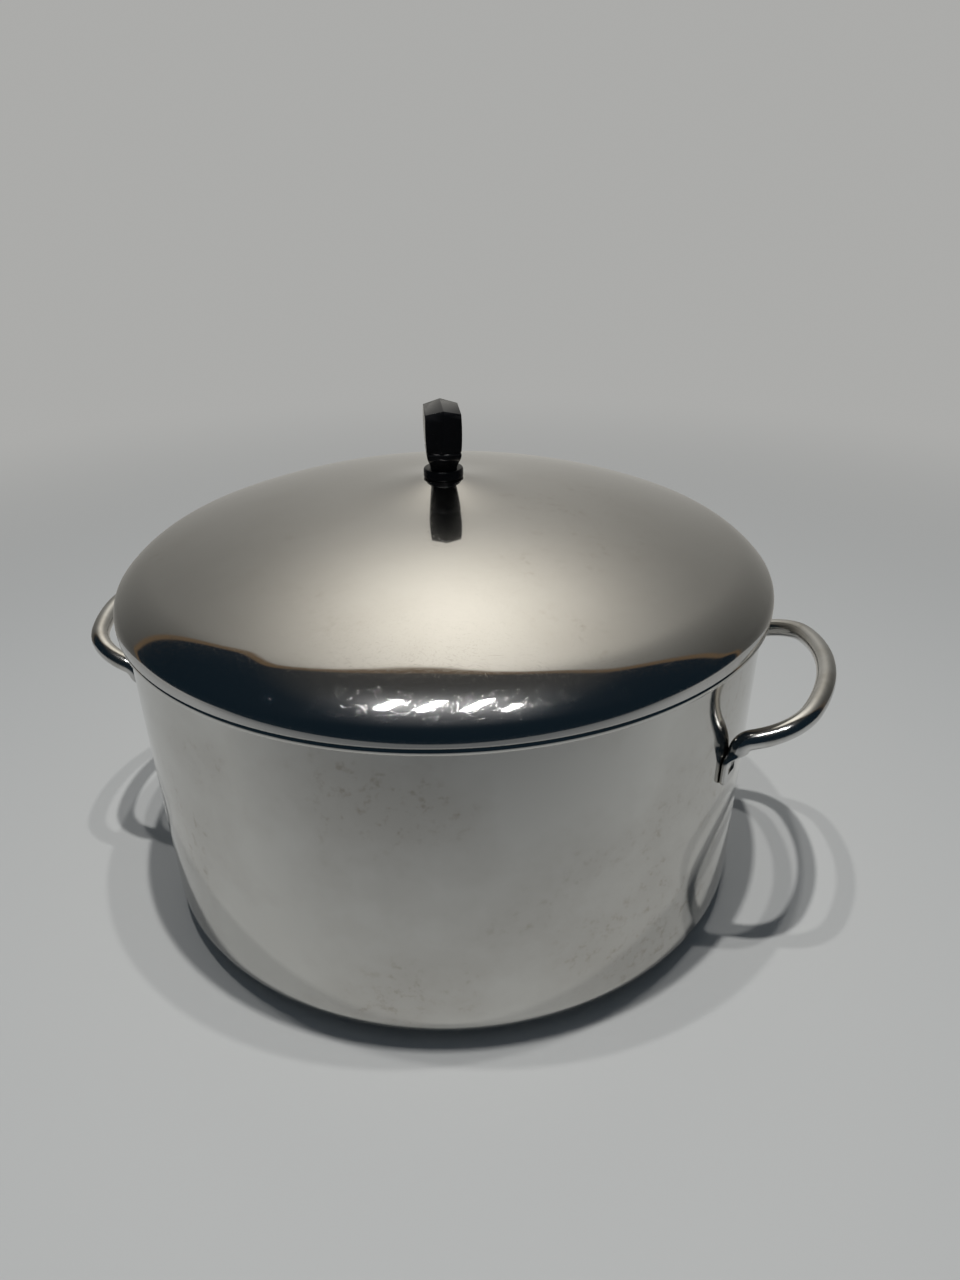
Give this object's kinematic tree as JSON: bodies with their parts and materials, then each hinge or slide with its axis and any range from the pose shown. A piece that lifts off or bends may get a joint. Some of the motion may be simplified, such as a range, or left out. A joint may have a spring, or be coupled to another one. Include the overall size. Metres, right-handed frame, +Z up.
{
  "type": "lidded stock kettle",
  "caption": "Low round stainless steel kettle with bent-rod loop handles, a rolled rim, and a domed lift-off lid with a black moulded knob.",
  "frame": {"origin": "middle of the underside of the base plate", "axes": "+Z up, out through the knob; X runs from the left handle to the right handle; the front faces -Y"},
  "size_m": [0.3306, 0.2744, 0.2134],
  "materials": {
    "mirror_steel": "mirror polished stainless steel",
    "lid_steel": "polished stainless steel with fine wear",
    "rod_steel": "satin stainless steel rod",
    "plate_aluminium": "plain, heat worn",
    "black_phenolic": "gloss moulded",
    "brass": "plain",
    "screw_steel": "plain"
  },
  "bodies": {
    "kettle": {"kettle_shell": "mirror_steel", "base_plate": "plate_aluminium", "handle_left": "rod_steel", "handle_right": "rod_steel"},
    "lid": {"lid_shell": "lid_steel", "lid_ring": "lid_steel", "knob": "black_phenolic", "knob_bush": "brass", "knob_screw": "screw_steel", "knob_washer": "screw_steel"}
  },
  "joints": [
    {"name": "lid_lift", "type": "slide", "parent": "kettle", "child": "lid", "axis": [0, 0, 1], "range_m": [0, 0.15]}
  ]
}
